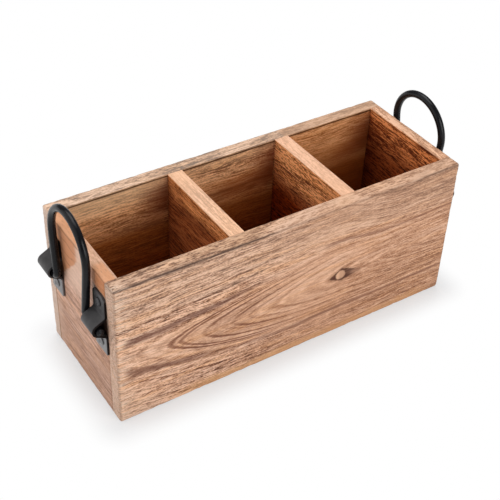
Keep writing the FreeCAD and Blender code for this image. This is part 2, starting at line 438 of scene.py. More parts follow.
def knot(space):
    """Washes for a small knot: a dark almond with a tail, round a pale core that darkens to the right."""
    across = space.x - KNOT_X
    up = space.z - KNOT_Z + across.math("MAXIMUM", across * 0.12, across * -0.08)
    reach = across.math("MAXIMUM", across / -12.5, across / 20.0)
    room = reach.math("MAXIMUM", 1 - reach, 0.0)
    near = rise(reach, 1.1, 0.9)
    rim = speckle((space.x, space.z, space.y), (3, 1.5, 3), detail=2)
    inside = room * 6.3 - abs(up) + rim
    left = across + 0.9
    core = (left * left + up * up * 1.2) ** 0.5 + rim * 0.9
    heart = rise(core, 5.2, 3.6)
    shaded = rise(across, -3.6, -0.6) * 0.32 + rise(across, 1.2, 4.8) * 0.4
    notch = band(up, -0.2, 1.7) * rise(across, 7.5, 12) * rise(across, 21, 16)
    scratches = speckle(space.grain, (12, 1.5, 3), detail=2, seed=19)
    worn = 0.74 + rise(across, 12, 4) * 0.16 + scratches * 0.3
    return [
        (near * rise(inside, -3.0, 0.5) * 0.35, (0.36, 0.18, 0.105)),
        (near * rise(inside, -1.0, 0.9) * worn, (0.075, 0.022, 0.011)),
        (notch * 0.5, (0.52, 0.28, 0.17)),
        (heart * 0.8, (0.84, 0.50, 0.31)),
        (heart * shaded, (0.22, 0.095, 0.055)),
    ]


def drawn_rings(rings, up, above, ragged):
    """The rings that show as single lines, fainter where an arch turns and, far out, under the heart."""
    limb = rise(abs(up), 2, 9)
    lines = 0.0
    for distance, width, tone in RINGS:
        if distance > OUTER_RINGS:
            fade = 0.25 + above * 0.75
        elif distance > BOLD_RINGS:
            fade = 0.8 + limb * 0.2
        else:
            fade = 0.3 + limb * 0.7
        lines = lines + band(rings + ragged * 0.35, distance, width) * tone * fade
    return lines


def dark_streaks(space, rings, up, above, ragged, fine):
    """Two streaks that follow about one ring, above and below the heart, and come and go along it."""
    below = 1 - above
    track = STREAK_RING + rise(space.x, -60, -105) * 1.5 + rise(space.x, -110, -145) * (1.3 + below)
    track = track + rise(space.x, -10, 35) * (above * 1.8 - below * 1.1)
    track = track + rise(space.x, 40, 130) * below * 1.5
    off_track = abs(rings + ragged * 1.2 - track)
    upper = rise(space.x, -5, -80) * 0.9 + rise(space.x, 12, 40) * 0.75 + 0.1
    lower = rise(space.x, -60, -100) * 0.5 + rise(space.x, -40, 30) * 0.75 + 0.4
    limbs = rise(abs(up), 7, 13) * rise(space.x, -149, -142)
    return rise(off_track + abs(fine) * 1.4, 2.3, 0.4) * (above * upper + below * lower) * limbs


def paleness(space, rings, above):
    """How much paler the wood is than the front's own tone, from place to place, with painted shade and
    light.
    """
    pale = rise(rings, 44, 36) * (0.05 + band(space.x, -20, 75) * 0.06)
    pale = pale + rise(space.x + space.z * 1.2, -85, -120) * 0.10
    under_edge = rise(space.z, WOOD_HIGH.z - 0.6, WOOD_HIGH.z - 1.4)
    sunny = band(rings, 51, 8) * rise(space.x, 110, 90) * 0.12 - rise(rings, 58, 64) * under_edge * 0.12
    shady = band(rings, 48, 5) * 0.05 - rise(rings, 40, 35) * 0.13
    pale = pale + rise(space.x, -50, 5) * (above * sunny + (1 - above) * shady)
    # Painted shade at the foot of the left half and towards the right end, and painted light on the top face.
    foot = rise(space.z, 32, 22) * rise(space.x, -80, -40) * 0.11
    return pale - foot - rise(space.x, 20, 100) * 0.10 + rise(space.z, *TOP_FADE) * 0.14


def front_edges(space, ragged):
    """Washes along the edges: dark oil at the top, a thin outline, and frayed fibres at the left."""
    strands = band(space.z, 123.8, 3.6) * rise(ragged, -0.1, 0.2) * band(space.x, -88, 60)
    wander = space.x + ragged * 20
    dark_ends = rise(wander, -18, -34) + rise(wander, 106, 118) * 0.5
    dark_edge = band(space.z + ragged * 0.9, 125.9, 1.6) * (0.32 + dark_ends * 0.6)
    outline = rise(space.x, WOOD_HIGH.x - 1.5, WOOD_HIGH.x - 0.5) * 0.5 + rise(space.z, 1.5, 0.5) * 0.4
    frayed = rise(space.x + ragged * 12, -134, -150) * rise(ragged, -0.05, 0.2)
    arris = rise(space.x + space.y + ragged * 0.5, FRONT_LEFT_CORNER + 2.0, FRONT_LEFT_CORNER + 1.4)
    return [
        (strands * 0.6, (0.130, 0.075, 0.052)),
        (dark_edge, (0.075, 0.042, 0.032)),
        (outline, (0.20, 0.12, 0.08)),
        (frayed * 0.6, (0.80, 0.62, 0.48)),
        (rise(space.x, *LEFT_END_GRAIN) * 0.4, (0.66, 0.44, 0.33)),
        (arris * rise(ragged, -0.3, 0.1) * 0.35, (0.16, 0.085, 0.055)),
    ]


def front_figure(space):
    """The front board: arched rings and streaks, coarse at the left end and clear inside the arches."""
    rings, up = arched_rings(space)
    above = rise(up, -2, 2)
    spot = (space.x, rings, space.y)
    rings = rings + speckle(spot, (70, 6, 30), seed=3) * 0.4
    cloud = speckle(spot, (100, 5, 30), detail=3)
    fine = speckle(spot, (150, 1.2, 30), detail=3, roughness=0.6, seed=5)
    ragged = speckle(space.grain, (30, 1.6, 5), detail=3, roughness=0.6, seed=11)
    lines = drawn_rings(rings, up, above, ragged)
    streaks = dark_streaks(space, rings, up, above, ragged, fine)
    left_end = rise(space.x, 60, -90)
    arch = rise(rings, 43, 39) * rise(space.x, 60, 10)
    clear = arch * (0.35 + rise(space.x, 10, -50) * 0.65)
    coarse = 1.1 + left_end * (0.3 + rise(space.z, 60, 88) * 1.0 + rise(space.z, 38, 20) * 0.75)
    coarse = (coarse + rise(space.x, 20, 90) * 0.35) * (1 + rise(space.z, *TOP_FACE) * 0.3)
    coarse = coarse * (1 - arch * 0.4)
    drawn = 0.4 + left_end * 0.75 + clear * 0.4 + (1 - above) * rise(space.x, 0, 60) * 0.4
    tone = FRONT_TONE + paleness(space, rings, above) + lines * drawn - streaks * 0.2
    tone = tone + cloud * (0.30 - left_end * 0.14) + fine * (0.42 + coarse * 0.2)
    sapwood = rise(space.z + ragged * 5, 10.0, 4.5) * rise(space.x, -125, -70) * rise(space.x, 150, 120)
    golden = rise(space.x, -70, 60) * (0.5 + rise(space.z + cloud * 12, 98, 84) * 0.5)
    grey = rise(space.z + cloud * 20, 84, 104) + rise(space.x + space.z + cloud * 30, -100, -130)
    washes = [
        (grey * 0.22, (0.49, 0.345, 0.245)),
        (rise(lines * drawn, -0.08, -0.45) * clear * 0.5, (0.25, 0.105, 0.062)),
        (streaks * 0.75, (0.150, 0.062, 0.044)),
        (sapwood * 0.65, (0.64, 0.340, 0.150)),
        (golden * 0.3, (0.56, 0.28, 0.15)),
        *front_edges(space, ragged),
        *knot(space),
    ]
    return tone, coarse, washes


front_wood = wood_finish(
    "front_panel_wood", "x", front_figure, stroke=15, inside=lambda space: rise(space.y, *FRONT_INNER)
)
print("front board from", tuple(WOOD_LOW), "to", tuple(WOOD_HIGH))

# %% [markdown]
# ## Straight grained boards
# The other boards are quieter: their rings cross the face almost level, with slow waves. A board's pattern
# is shifted by its own seed so that no two boards repeat. Washes over it give the worn edges, painted light
# and shade in the bays, and round the left handle an orange patch, a painted sheen and painted shadows
# beside the straps. The outer faces stay plainer.

# %% Other wood finishes


def ring_lines(rings, step):
    """Late wood: a dark line at each ring that fades outwards, stronger in some years than in others."""
    turn = rings / step
    part = turn.math("FRACT", turn)
    year = turn.math("FLOOR", turn)
    luck = turn.node("ShaderNodeTexWhiteNoise", {"noise_dimensions": "1D"}, {"W": year})
    return rise(part, 0.0, 0.10) * rise(part, 0.55, 0.10) * (0.45 + luck * 0.55)


PLAIN_COARSE = 0.95
PLAIN_DEPTH = 0.14


def straight_figure(
    seed, tilt=0.0, base_tone=0.5, swirl=6.0, coarse=1.0, depth=PLAIN_DEPTH, broad=1.0,
    calm=None, washes=lambda *_: []
):
    """A figure of nearly level lines, for boards sawn on the quarter.

    coarse goes for fibres and bands alike, and broad for the bands alone. calm(space) is 1 on a plainer face.
    """

    def figure(space):
        strong = 1.0 if calm is None else 1 - calm(space)
        rough = PLAIN_COARSE + strong * (coarse - PLAIN_COARSE)
        lines = PLAIN_DEPTH + strong * (depth - PLAIN_DEPTH)
        bands = rough * (1 + strong * (broad - 1))
        drift = speckle((space.along, space.across, space.through), (60, 26, 30), seed=seed)
        rings = space.across + space.through * 0.35 + space.along * tilt + drift * swirl + seed * 13
        spot = (space.along, rings, space.through)
        cloud = speckle(spot, (50, 9, 30), detail=4, roughness=0.6, seed=seed)
        fine = speckle(spot, (130, 1.6, 30), detail=3, roughness=0.6, seed=seed + 5)
        ragged = speckle(space.grain, (30, 2.4, 5), detail=3, roughness=0.6, seed=seed + 9)
        tone = base_tone + (cloud * 0.45 + fine * 0.36) * bands - ring_lines(rings, 4.3) * lines
        return tone, rough, washes(space, ragged)

    return figure


BACK_INNER = (WOOD_HIGH.y - 10.8, WOOD_HIGH.y - 11.6)
BACK_OUTER = (WOOD_HIGH.y - 1.6, WOOD_HIGH.y - 0.4)
LEFT_INNER = (WOOD_LOW.x + 8.9, WOOD_LOW.x + 9.7)
LEFT_OUTER = (WOOD_LOW.x + 1.9, WOOD_LOW.x + 1.1)
RIGHT_INNER = (WOOD_HIGH.x - 8.9, WOOD_HIGH.x - 9.7)
RIGHT_OUTER = (WOOD_HIGH.x - 1.6, WOOD_HIGH.x - 0.4)
RIM_FADE = (WOOD_HIGH.z - 0.6, WOOD_HIGH.z - 1.0)
WORN_HEIGHTS = (WOOD_HIGH.z - 3.5, WOOD_HIGH.z - 1.5)
WORN_EDGE = (0.20, 0.14, 0.10)
BAY_ENDS = [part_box(node)[0].x / MM for node in ("left_divider", "right_divider", "right_end_panel")]


def corner_shade(space, ragged):
    """Shade on the back board that gathers towards the right end of each bay."""
    shade = 0.0
    for end in BAY_ENDS:
        shade = shade + rise(space.x + ragged * 5, end - 34, end - 2) * rise(space.x, end + 1, end - 0.5)
    return shade * (0.35 + rise(space.z, 124, 112) * 0.65) * (0.15 + rise(space.z, 82, 100) * 0.85)


def back_washes(space, ragged):
    """The back board seen in the bays: pale at the left, golden at the right, with painted light and shade.
    """
    inner = rise(space.y, *BACK_INNER)
    outer = rise(space.y, WOOD_HIGH.y - 1.8, WOOD_HIGH.y - 0.8) * rise(space.z, *WORN_HEIGHTS)
    rim = band(space.z + ragged * 0.8, 125.3, 1.4) * inner
    past_left_bay = rise(space.x, -44, -40)
    middle_bay = past_left_bay * rise(space.x, 46, 43)
    left_bay = rise(space.x, -48, -60) * rise(space.z, 100, 116) * rise(space.z, *RIM_FADE)
    right_bay = rise(space.x, 52, 56) * (1 - rise(space.y, *BACK_OUTER))
    line = band(space.z + ragged * 2, 93, 1.6) * middle_bay
    low_right = past_left_bay * rise(space.z + ragged * 6, 106, 92)
    # Painted shade, darker lower down in the middle and right bays.
    dusk = rise(space.x, -36, 8) * middle_bay + rise(space.x, 92, 122) * rise(space.x, 144, 142)
    dusk = dusk * rise(space.z + ragged * 6, 108, 98) * rise(space.z, 80, 90)
    # Painted light, a glow low down in the bays.
    glow = rise(space.x, -50, -60) * rise(space.z, 98, 86) + middle_bay * rise(space.z, 92, 82) * 0.3
    glow = glow + rise(space.x, 88, 96) * rise(space.z, 92, 80) * 0.75
    # Painted light just under the rim of the left and middle bays.
    light = rise(space.z, 112, 122) * rise(space.z, *RIM_FADE) * rise(space.x, 56, 50)
    return [
        (left_bay * inner * 0.4, (0.60, 0.45, 0.34)),
        (right_bay * 0.45, (0.46, 0.18, 0.06)),
        (light * inner * 0.25, (0.74, 0.53, 0.39)),
        # Painted light: a warm band round the height of 101 mm.
        (band(space.z, 101, 15) * inner * 0.2, (0.84, 0.43, 0.21)),
        (low_right * inner * 0.4, (0.60, 0.25, 0.085)),
        (line * inner * 0.7, (0.16, 0.065, 0.032)),
        (dusk * inner * 0.6, (0.24, 0.060, 0.010)),
        (corner_shade(space, ragged) * inner * 0.8, (0.14, 0.025, 0.003)),
        (glow * inner * 0.28, (0.95, 0.52, 0.29)),
        (rim, (0.045, 0.018, 0.009)),
        (outer * 0.5, WORN_EDGE),
        (rise(space.x, *LEFT_END_GRAIN) * 0.75, (0.70, 0.53, 0.43)),
    ]


# Colour of the shadow painted on the wood beside the straps.
STRAP_SHADOW_COLOUR = (0.030, 0.012, 0.007)
STRAP_FRONT_EDGES = [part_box(f"left_{end}_bracket")[0].y / MM for end in ("front", "back")]


def painted_strap_shadow(space, edge):
    """Painted shadow on the wood along the front edge of a strap, wider where its loop stands off the wood.
    """
    gap = edge - space.y
    reach = 1.3 + band(space.z, 85, 13) * 2.2
    beside = rise(gap / reach, 1.0, 0.3) * rise(gap, -19, -17)
    return beside * rise(space.z, 59.0, 60.5) * rise(space.z, 113.5, 111.5)


def left_end_washes(space, ragged):
    """The left end: orange patch with curls, painted sheen, pitted top, painted shade low and by the straps.
    """
    outer = rise(space.x, *LEFT_OUTER)
    slope = space.y.math("MINIMUM", (19 - space.y) * 1.04, 22.0)
    patch = rise(space.z - 91 - slope + ragged * 4, 0, 3) * (rise(space.y, -3, 4) + rise(space.y, -22, -28))
    patch = patch * rise(space.x, LEFT_INNER[0], LEFT_INNER[0] - 1)
    swirl = speckle((space.y, space.z, space.x), (26, 17, 30), detail=1, seed=4.1) * 12
    grain = space.z + swirl * 0.5 + ragged * 1.5
    curl = band(grain, 118, 0.9) + band(grain, 110, 0.7) + band(grain, 101, 1.0)
    # Painted sheen: a pale middle that stands in for a reflection in the oil.
    painted_sheen = rise(space.z + ragged * 6, 76, 88) * rise(space.y, -16, -8) * rise(space.y, 28, 20) * outer
    # Painted shade, darker towards the bottom of the end.
    low = rise(space.z + ragged * 10, 62, 35)
    holes = rise(speckle(space.grain, (7, 1.1, 1.1), detail=2, seed=23), 0.05, 0.5)
    # Painted shadow of the straps on the wood beside their front edges.
    strap_shadows = [(painted_strap_shadow(space, edge) * outer * 0.9, STRAP_SHADOW_COLOUR) for edge in STRAP_FRONT_EDGES]
    return [
        (rise(space.y, 30, 42) * rise(space.z, 58, 46) * 0.3, (0.80, 0.56, 0.43)),
        (low * 0.3, (0.38, 0.21, 0.135)),
        (painted_sheen * 0.6, (0.92, 0.63, 0.475)),
        (patch * 0.75, (0.60, 0.215, 0.070)),
        (patch * curl * 0.6, (0.24, 0.085, 0.032)),
        (band(space.z + ragged, 126.0, 0.9) * outer * 0.5, (0.16, 0.070, 0.035)),
        (holes * rise(space.z, *TOP_FACE) * 0.85, (0.24, 0.10, 0.042)),
        *strap_shadows,
    ]


def right_end_washes(space, ragged):
    """The right end: a dark line under its inner rim, and shade towards the back."""
    inner = rise(space.x, *RIGHT_INNER)
    rim = band(space.z + ragged * 0.8, 125.3, 1.1) * inner
    corner = rise(space.y + ragged * 5, 14, 44) * rise(space.z, 125, 112) * inner
    outer = rise(space.x, WOOD_HIGH.x - 1.5, WOOD_HIGH.x - 0.5) * rise(space.z, *WORN_HEIGHTS)
    return [
        (corner * 0.5, (0.14, 0.030, 0.005)),
        (rim * 0.8, (0.075, 0.030, 0.014)),
        (outer * 0.5, WORN_EDGE),
    ]


def left_divider_washes(space, ragged):
    """The left divider's top edge: browner towards the back and along its left arris."""
    top = rise(space.z, *TOP_FACE)
    left_arris = rise(space.x + ragged * 0.6, BAY_ENDS[0] + 1.2, BAY_ENDS[0] + 0.3)
    return [
        (top * rise(space.y + ragged * 14, 0, 45) * 0.5, (0.55, 0.29, 0.145)),
        (top * left_arris * 0.7, (0.34, 0.16, 0.075)),
    ]


WOODS = {"front_panel": front_wood}
WOODS["back_panel"] = wood_finish(
    "back_panel_wood", "x",
    straight_figure(
        2.3, 0.02, 0.5, coarse=1.9, calm=lambda space: rise(space.y, *BACK_OUTER), washes=back_washes
    ),
    stroke=14, top=(0.28, (0.56, 0.50, 0.40)), inside=lambda space: rise(space.y, *BACK_INNER),
    near=(1.18, 1.08, 0.83), deep=(0.42, 0.26, 0.115), depths=(104, 76),
)
WOODS["left_end_panel"] = wood_finish(
    "left_end_panel_wood", "y", straight_figure(4.1, 0.03, 0.53, coarse=0.95, washes=left_end_washes),
    tint=(1.06, 1.09, 1.22), top=(0.35, (0.72, 0.44, 0.275)),
    inside=lambda space: rise(space.x, *LEFT_INNER),
)
WOODS["right_end_panel"] = wood_finish(
    "right_end_panel_wood", "y",
    straight_figure(
        6.7, -0.05, 0.60, swirl=12.0, coarse=3.3, depth=0.45, broad=0.75,
        calm=lambda space: rise(space.x, *RIGHT_OUTER), washes=right_end_washes,
    ),
    stroke=18, top=(0.45, (0.77, 0.43, 0.26)), inside=lambda space: rise(space.x, *RIGHT_INNER),
    near=(1.24, 0.70, 0.34), deep=(0.34, 0.23, 0.17), depths=(118, 86),
)
WOODS["left_divider"] = wood_finish(
    "left_divider_wood", "y", straight_figure(8.9, 0.04, 0.54, coarse=1.8, washes=left_divider_washes),
    stroke=15, top=(0.5, (0.96, 0.60, 0.39)), inside=lambda space: 1.0,
    near=(1.22, 0.80, 0.42), deep=(0.51, 0.40, 0.37), depths=(124, 106),
)
WOODS["right_divider"] = wood_finish(
    "right_divider_wood", "y",
    straight_figure(
        9.6, 0.10, 0.56, coarse=2.6, broad=0.6, calm=lambda space: rise(space.y, 0, -35) * 0.6
    ),
    stroke=7, top=(0.7, (0.82, 0.485, 0.315)), inside=lambda space: 1.0,
    near=(1.42, 1.04, 0.62), deep=(0.27, 0.09, 0.02), depths=(106, 84),
)
WOODS["base_board"] = wood_finish(
    "base_board_wood", "base", straight_figure(10.7, 0.0, 0.45), tint=(0.7, 0.6, 0.5)
)
dowel_wood = wood_finish("dowel_wood", "y", straight_figure(12.9, 0.0, 0.85))
print("wood finishes", [wood.name for wood in WOODS.values()])

# %% [markdown]
# ## Boards
# A sanded board is never a perfect block: its corners are rounded by hand and its faces wander a little.
# Each board starts as a cube stretched to its measured size. The outer edges are bevelled round, the mesh
# is sliced into a fine grid, and noise then wears it down, only ever inwards, most along the edges.

# %% Boards
OUTER_ROUND = 2.0 * MM
ARRIS = 0.3 * MM
GRID_STEP = 2.5 * MM
FACE_WEAR = 0.10 * MM
EDGE_WEAR = 0.45 * MM
SLOW_WAVE, QUICK_WAVE, FINE_WAVE = 30 * MM, 6 * MM, 2.5 * MM
TOUCH = 0.01 * MM
OUTER_PLANES = [(axis, corner[axis] * MM) for axis in range(3) for corner in (WOOD_LOW, WOOD_HIGH)]


def outer_planes_at(spot, reach):
    """How many outer faces of the box lie within reach of a point."""
    return sum(abs(spot[axis] - level) < reach for axis, level in OUTER_PLANES)


def round_off(shape, geom, offset, segments, affect="EDGES"):
    """Bevel edges, or the corners of a flat shape, to an even round."""
    bmesh.ops.bevel(shape, geom=geom, offset=offset, segments=segments, profile=0.5, affect=affect,
                    material=-1)


def cut(shape, spot, normal, dist):
    """Slice the whole mesh along a plane and keep both sides."""
    geom = shape.verts[:] + shape.edges[:] + shape.faces[:]
    bmesh.ops.bisect_plane(shape, geom=geom, dist=dist, plane_co=spot, plane_no=normal)


def slice_into_grid(shape, low, high, step):
    """Cut a mesh by evenly spaced planes along each axis."""
    for axis in range(3):
        span = high[axis] - low[axis]
        count = max(2, round(span / step))
        normal = Vector([axis == other for other in range(3)])
        for index in range(1, count):
            cut(shape, low + normal * (span * index / count), normal, TOUCH)


def wear(shape, seed):
    """Wear a board down along its normals with noise, more at the outer edges of the box."""
    shape.normal_update()
    shift = Vector((seed, seed * 1.7, seed * 2.3))
    for vert in shape.verts:
        slow = 0.5 + 0.5 * noise.noise(vert.co / SLOW_WAVE + shift)
        quick = noise.noise(vert.co / QUICK_WAVE + shift) + 0.5 * noise.noise(vert.co / FINE_WAVE + shift)
        on_edge = outer_planes_at(vert.co, OUTER_ROUND * 1.05) >= 2
        depth = slow * FACE_WEAR + (max(0.0, quick) * EDGE_WEAR if on_edge else 0.0)
        vert.co -= vert.normal * depth


def place_piece(shape, name, body, slot, finish, *nodes):
    """Turn a bmesh into a finished piece that rides on a body and stands for CAD nodes."""
    piece = new_object(shape, name, finish)
    piece.data.shade_smooth()
    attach(piece, body)
    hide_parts(*nodes)
    return piece


def sharp_edges(shape, least):
    """The edges whose faces meet at more than this many degrees."""
    return [edge for edge in shape.edges if edge.is_manifold and edge.calc_face_angle() > math.radians(least)]


def board(node, seed):
    """A board worn soft, at the place of a CAD node."""
    low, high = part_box(node)
    shape = bmesh.new()
    stretch = Matrix.Diagonal((*(high - low), 1))
    bmesh.ops.create_cube(shape, size=1.0, matrix=Matrix.Translation((low + high) / 2) @ stretch)
    outer = [edge for edge in shape.edges
             if outer_planes_at((edge.verts[0].co + edge.verts[1].co) / 2, TOUCH) >= 2]
    if outer:
        round_off(shape, outer, OUTER_ROUND, 4)
    top = WOOD_HIGH.z * MM - TOUCH
    arrises = [edge for edge in sharp_edges(shape, 60) if min(vert.co.z for vert in edge.verts) > top]
    round_off(shape, arrises, ARRIS, 2)
    slice_into_grid(shape, low, high, GRID_STEP)
    wear(shape, seed)
    return shape


SLOTS = {"left_divider": "divider_wood", "right_divider": "divider_wood", "base_board": "base_wood"}
for seed, (node, finish) in enumerate(WOODS.items()):
    shape = board(node, seed * 3.7)
    print(node, "faces", len(shape.faces))
    place_piece(shape, node + "_wood", "box", SLOTS.get(node, "panel_wood"), finish, node)
for node, thing in frame["nodes"].items():
    if node.endswith("_dowels"):
        thing.data.materials.clear()
        thing.data.materials.append(dowel_wood)

# %% [markdown]
# ## Black iron
# Handles, straps and screws have a satin black coat over iron. It is nearly black, with a fine orange peel
# and slightly shinier patches where hands rub it, so its roughness wanders and its bump is tiny. The lower
# plates of the straps have lost some coat, so bare iron shines there, and painted shade darkens the straps'
# outer edges and the inner side of their upper plates.

# %% Iron finish


def iron_finish(name, colour, roughness, shine=0.5, bare_below=None, painted_edge_shade=0.0):
    """Black coated iron. Below the height bare_below the coat is thin and the iron shines through.

    The last argument is how much painted shade darkens a strap's outer edge and the inner side of its upper
    plate.
    """
    material, paint = start_finish(name)
    place = [axis / MM for axis in spot_axes(paint)]
    peel = speckle(place, (0.8, 0.8, 0.8), detail=2)
    rubbed = speckle(place, (9, 9, 9), detail=3, seed=4)
    bump = paint.node("ShaderNodeBump", inputs={"Height": peel, "Strength": 0.25, "Distance": 0.05 * MM})
    pale = tuple(channel * 1.8 for channel in colour)
    paint_colour = mix(rise(rubbed, -0.3, 0.5), colour, pale)
    metallic = 0.0
    if bare_below is not None:
        metallic = rise(place[2] + rubbed * 2, bare_below + 1, bare_below - 1) * 0.75
        paint_colour = mix(metallic, paint_colour, (0.27, 0.265, 0.265))
    inputs = {
        "Base Color": paint_colour,
        "Metallic": metallic,
        "Roughness": roughness + rubbed * 0.12 + peel * 0.03,
        "Normal": bump,
        "Specular IOR Level": shine,
    }
    surface = paint.node("ShaderNodeBsdfPrincipled", inputs=inputs)
    # Painted shade: a near black matt coat on the strap's outer edge and the inner side of its upper plate.
    if painted_edge_shade:
        across = abs(place[1])
        shaded_edges = band(across, abs(STRAP_FRONT_EDGES[0]), 0.6) + rise(across, 32, 29) * rise(place[2], 95, 99)
        edge_shade_surface = paint.node("ShaderNodeBsdfDiffuse", inputs={"Color": (0.008, 0.005, 0.004, 1)})
        surface = paint.node("ShaderNodeMixShader", inputs={0: shaded_edges * painted_edge_shade, 1: surface, 2: edge_shade_surface})
    paint.node("ShaderNodeOutputMaterial", inputs={"Surface": surface})
    return material


handle_iron = iron_finish("handle_iron", (0.0045, 0.0045, 0.0055), 0.25, shine=0.18)
BARE_BELOW = 76.0
bracket_iron = iron_finish(
    "bracket_iron", (0.036, 0.034, 0.035), 0.42, shine=0.30, bare_below=BARE_BELOW, painted_edge_shade=0.9
)
screw_steel = iron_finish("screw_steel", (0.030, 0.029, 0.031), 0.35, shine=0.35, bare_below=BARE_BELOW)
print("iron finishes", handle_iron.name, bracket_iron.name, screw_steel.name)

# %% [markdown]
# ## Bail handles
# A handle is one round bar bent cold: a foot that turns in the brackets, a tight bend, a leg and an arch.
# A circle is swept along it from foot to foot, with extrude for the straight runs and spin for the bends,
# as a bending jig would do it. The whole then leans and moves to its hinge.

# %% Bail handles
ARCH_RADIUS = 28.0 * MM
ARCH_RISE = 43.1 * MM
FOOT_CORNER = 23.3 * MM
FOOT_BEND_RUN = 4.2 * MM
FOOT_END_BEVEL = 0.7 * MM
PUNCH_RIM = 1.1 * MM
PUNCH_SLOPE = 0.5 * MM
PUNCH_DEPTH = 0.6 * MM
LEAN = math.radians(1.75)
ROD_SIDES = 32
ROD_RADIUS = 2.99 * MM


def run_on(shape, edges, move, steps):
    """Extrude a ring of edges in a straight line, in even steps."""
    for _ in range(steps):
        made = bmesh.ops.extrude_edge_only(shape, edges=edges)["geom"]
        bmesh.ops.translate(shape, verts=[item for item in made if isinstance(item, bmesh.types.BMVert)],
                            vec=move / steps)
        edges = [item for item in made if isinstance(item, bmesh.types.BMEdge) and item.is_boundary]
        edges = [edge for edge in edges if all(vert in made for vert in edge.verts)]
    return edges


def turn_on(shape, edges, centre, axis, angle, steps):
    """Spin a ring of edges round a centre, and return the last ring."""
    made = bmesh.ops.spin(shape, geom=edges, cent=centre, axis=axis, angle=angle, steps=steps)["geom_last"]
    return [item for item in made if isinstance(item, bmesh.types.BMEdge)]


def punch(shape, end):
    """Sink a centre punch mark into the flat end of the bar."""
    inward = -end.normal * PUNCH_DEPTH
    bmesh.ops.inset_region(shape, faces=[end], thickness=PUNCH_RIM)
    bmesh.ops.inset_region(shape, faces=[end], thickness=PUNCH_SLOPE)
    bmesh.ops.translate(shape, verts=end.verts, vec=inward)


def bail(side, hinge, foot_end):
    """The bent bar of one handle, leaning in over the box from its hinge."""
    span = math.hypot(FOOT_CORNER, ARCH_RISE)
    tilt = math.atan2(ARCH_RISE, FOOT_CORNER) - math.acos(ARCH_RADIUS / span)
    bend_radius = FOOT_BEND_RUN * math.tan((math.pi / 2 - tilt) / 2)
    bend_turn = math.pi / 2 + tilt
    foot_run = Vector((0, FOOT_CORNER + FOOT_BEND_RUN - foot_end, 0))
    leg_length = math.sqrt(span**2 - ARCH_RADIUS**2) - FOOT_BEND_RUN
    up_leg = Vector((0, math.sin(tilt), math.cos(tilt))) * leg_length
    down_leg = Vector((0, up_leg.y, -up_leg.z))
    bend_across = FOOT_CORNER + FOOT_BEND_RUN
    x_axis = (1, 0, 0)
    shape = bmesh.new()
    on_end = Matrix.Translation((0, foot_end, 0)) @ Matrix.Rotation(math.pi / 2, 4, "X")
    bmesh.ops.create_circle(shape, cap_ends=True, segments=ROD_SIDES, radius=ROD_RADIUS, matrix=on_end)
    rim = shape.edges[:]
    edges = run_on(shape, rim, foot_run, 6)
    edges = turn_on(shape, edges, (0, bend_across, bend_radius), x_axis, -bend_turn, 10)
    edges = run_on(shape, edges, up_leg, 8)
    edges = turn_on(shape, edges, (0, 0, ARCH_RISE), x_axis, 2 * bend_turn, 80)
    edges = run_on(shape, edges, down_leg, 8)
    edges = turn_on(shape, edges, (0, -bend_across, bend_radius), x_axis, -bend_turn, 10)
    edges = run_on(shape, edges, foot_run, 6)
    bmesh.ops.holes_fill(shape, edges=edges, sides=ROD_SIDES)
    round_off(shape, rim + edges, FOOT_END_BEVEL, 3)
    for end in [face for face in shape.faces if len(face.verts) == ROD_SIDES]:
        punch(shape, end)
    bmesh.ops.recalc_face_normals(shape, faces=shape.faces)
    lean = Matrix.Translation(hinge) @ Matrix.Rotation(-side * LEAN, 4, "Y")
    bmesh.ops.transform(shape, matrix=lean, verts=shape.verts)
    return shape


def handle_ends():
    """Each end of the box with a handle: its name, its side of the middle, its hinge and what swings."""
    for joint in frame["joints"]:
        name = joint["name"].split("_")[0]
        yield name, 1 if name == "right" else -1, Vector(joint["pos_m"]), joint["child"]


for end_name, side, hinge, swinging_body in handle_ends():
    node = end_name + "_handle"
    shape = bail(side, hinge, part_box(node)[1].y)
    print(node, "faces", len(shape.faces), "open edges", sum(edge.is_boundary for edge in shape.edges))
    place_piece(shape, node + "_rod", swinging_body, "handle_iron", handle_iron, node)

# %% [markdown]
# ## Strap brackets
# A bracket is a short iron strap, bent out in the middle into a loop for the handle's foot and screwed flat
# above and below. One edge is swept down its wall side from end to end, with spin for the bends, and each
# plate gets a hole. The Solidify and Bevel modifiers then give it the thickness and soft edges of strap.

# %% Strap brackets
STRAP_THICKNESS = 1.6 * MM
STRAP_TOP_CORNER = 4.5 * MM
STRAP_FOOT_CORNER = 1.0 * MM
STRAP_BEND = 3.6 * MM
LOOP_RADIUS = 4.2 * MM
LOOP_ABOVE_HINGE = 0.9 * MM
LOOP_SLOPE = math.radians(28.0)
STRAP_EDGE_SOFT = 0.3 * MM
SCREW_HOLE = 2.0 * MM


def bend_rise(standoff):
    """Height above the loop's middle at which the strap leaves the wall."""
    reach = (standoff - STRAP_BEND) * math.sin(LOOP_SLOPE) + LOOP_RADIUS + STRAP_BEND
    return reach / math.cos(LOOP_SLOPE)


